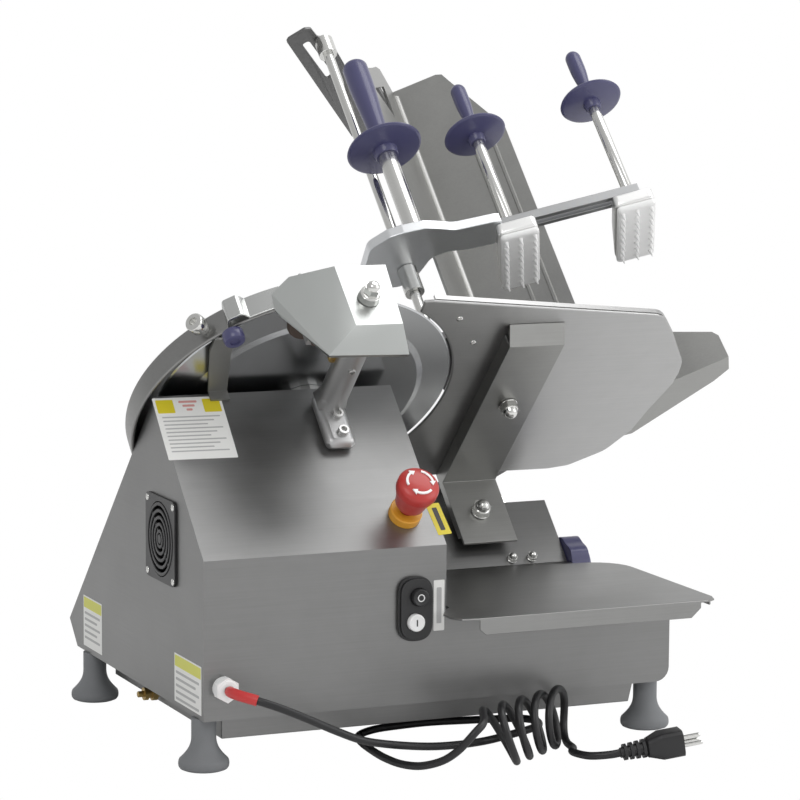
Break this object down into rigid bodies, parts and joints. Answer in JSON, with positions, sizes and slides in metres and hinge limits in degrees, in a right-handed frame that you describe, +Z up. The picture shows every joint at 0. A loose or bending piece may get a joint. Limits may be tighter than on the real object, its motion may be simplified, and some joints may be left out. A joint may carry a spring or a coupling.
{
  "type": "deli meat slicer",
  "caption": "Gravity-feed deli meat slicer: slanted round blade in a ring guard, sheet-metal base, sliding food trough with spiked meat arm, thickness dial, emergency stop and mains cord",
  "frame": {"origin": "on the floor under the middle of the machine's bounding box, the mains cord and its plug left out", "axes": "+X along the carriage's travel, to the right seen from the side the slices leave; +Y from that side towards the operator's side; +Z up"},
  "size_m": [0.6442, 0.713, 0.6654],
  "materials": {
    "steel": "brushed sheet",
    "dark_steel": "dull sheet",
    "cast": "polished casting",
    "chrome": "polished",
    "blade_steel": "ground and polished",
    "rubber": "matt",
    "black_plastic": "satin",
    "blue_plastic": "gloss",
    "white_plastic": "satin",
    "red_plastic": "gloss",
    "yellow_plastic": "gloss",
    "brass": "turned",
    "stone": "gritty",
    "belt": "matt",
    "cord": "matt sheath"
  },
  "bodies": {
    "base": {"base_housing": "steel", "base_pan": "steel", "foot_front_left": "rubber", "foot_rear_left": "rubber", "foot_front_right": "rubber", "foot_rear_right": "rubber", "fan_guard": "black_plastic", "fan_frame": "black_plastic", "switch_plate": "black_plastic", "estop_collar": "yellow_plastic", "cable_gland": "white_plastic", "earth_terminal": "brass", "drip_tray": "steel", "motor": "dark_steel", "blade_bearing": "cast", "ring_guard": "steel", "ring_screw": "chrome", "ring_knob": "blue_plastic", "deflector_bracket": "dark_steel", "sharpener_post": "cast", "slide_rail": "chrome", "drive_belt": "belt", "mains_cord_lead": "cord", "mains_cord_bundle": "cord", "mains_cord_tail": "cord", "plug_body": "black_plastic", "plug_pin_earth": "chrome", "plug_pin_live": "chrome", "plug_pin_neutral": "chrome"},
    "fan": {"fan_rotor": "black_plastic"},
    "start": {"start_button": "white_plastic"},
    "stop": {"stop_button": "black_plastic"},
    "emergency_stop": {"estop_head": "red_plastic"},
    "blade_assembly": {"blade": "blade_steel", "blade_shaft": "cast"},
    "motor_shaft": {"motor_pulley": "cast"},
    "gauge": {"gauge_plate": "steel", "gauge_bracket": "steel", "gauge_nut_upper": "chrome", "gauge_nut_lower": "chrome"},
    "dial": {"thickness_dial": "blue_plastic"},
    "sharpener": {"sharpener_cover": "cast", "cover_bolt": "chrome"},
    "grinding_wheel": {"grinding_stone": "stone"},
    "truing_wheel": {"truing_stone": "stone"},
    "carriage": {"carriage_trough": "steel", "carriage_arm": "dark_steel", "handle_plate": "dark_steel", "guide_rod": "chrome"},
    "arm_slide": {"arm_sleeve": "chrome"},
    "meat_arm": {"arm_casting": "cast", "slotted_bar": "cast", "handle_rod": "chrome", "handle_grip": "blue_plastic"},
    "block_inner": {"block_inner_clamp": "cast", "block_inner_pad": "white_plastic", "block_inner_grip": "blue_plastic"},
    "block_outer": {"block_outer_clamp": "cast", "block_outer_pad": "white_plastic", "block_outer_grip": "blue_plastic"}
  },
  "joints": [
    {"name": "blade_spin", "type": "hinge", "parent": "base", "child": "blade_assembly", "pos_m": [-0.1456, -0.09575, 0.3192], "axis": [0, -0.7071, -0.7071], "continuous": true},
    {"name": "motor_spin", "type": "hinge", "parent": "base", "child": "motor_shaft", "pos_m": [-0.1456, -0.06888, 0.18768], "axis": [0, -0.7071, -0.7071], "continuous": true},
    {"name": "fan_spin", "type": "hinge", "parent": "base", "child": "fan", "pos_m": [-0.2916, -0.15265, 0.1998], "axis": [1, 0, 0], "continuous": true},
    {"name": "start_press", "type": "slide", "parent": "base", "child": "start", "axis": [0, 1, 0], "range_m": [0, 0.003], "stiffness_N_per_m": 400},
    {"name": "stop_press", "type": "slide", "parent": "base", "child": "stop", "axis": [0, 1, 0], "range_m": [0, 0.003], "stiffness_N_per_m": 400},
    {"name": "emergency_press", "type": "slide", "parent": "base", "child": "emergency_stop", "axis": [0, 0.7071, -0.7071], "range_m": [0, 0.004], "stiffness_N_per_m": 900},
    {"name": "gauge_slide", "type": "slide", "parent": "base", "child": "gauge", "axis": [0, -0.7071, -0.7071], "range_m": [0, 0.012]},
    {"name": "dial_turn", "type": "hinge", "parent": "base", "child": "dial", "pos_m": [0.1544, -0.05425, 0.123], "axis": [1, 0, 0], "range_deg": [0, 330]},
    {"name": "cover_lift", "type": "slide", "parent": "base", "child": "sharpener", "axis": [0, -0.7071, 0.7071], "range_m": [0, 0.02]},
    {"name": "grinding_spin", "type": "hinge", "parent": "sharpener", "child": "grinding_wheel", "pos_m": [-0.1786, -0.19828, 0.40193], "axis": [0, -0.7071, -0.7071], "continuous": true},
    {"name": "truing_spin", "type": "hinge", "parent": "sharpener", "child": "truing_wheel", "pos_m": [-0.1786, -0.17848, 0.42173], "axis": [0, -0.7071, -0.7071], "continuous": true},
    {"name": "carriage_travel", "type": "slide", "parent": "base", "child": "carriage", "axis": [1, 0, 0], "range_m": [-0.3, 0]},
    {"name": "arm_travel", "type": "slide", "parent": "carriage", "child": "arm_slide", "axis": [0, 0.7071, 0.7071], "range_m": [-0.055, 0.055]},
    {"name": "arm_swing", "type": "hinge", "parent": "arm_slide", "child": "meat_arm", "pos_m": [-0.0062, -0.02702, 0.43432], "axis": [0, -0.7071, -0.7071], "range_deg": [-8, 70]},
    {"name": "block_inner_travel", "type": "slide", "parent": "meat_arm", "child": "block_inner", "axis": [0.9403, -0.2407, 0.2407], "range_m": [0, 0.05]},
    {"name": "block_outer_travel", "type": "slide", "parent": "meat_arm", "child": "block_outer", "axis": [0.9403, -0.2407, 0.2407], "range_m": [-0.05, 0]}
  ],
  "couplings": [
    {"joint": "motor_spin", "follows": "blade_spin", "ratio": 1.5},
    {"joint": "dial_turn", "follows": "gauge_slide", "rad_per_m": 479.97}
  ]
}
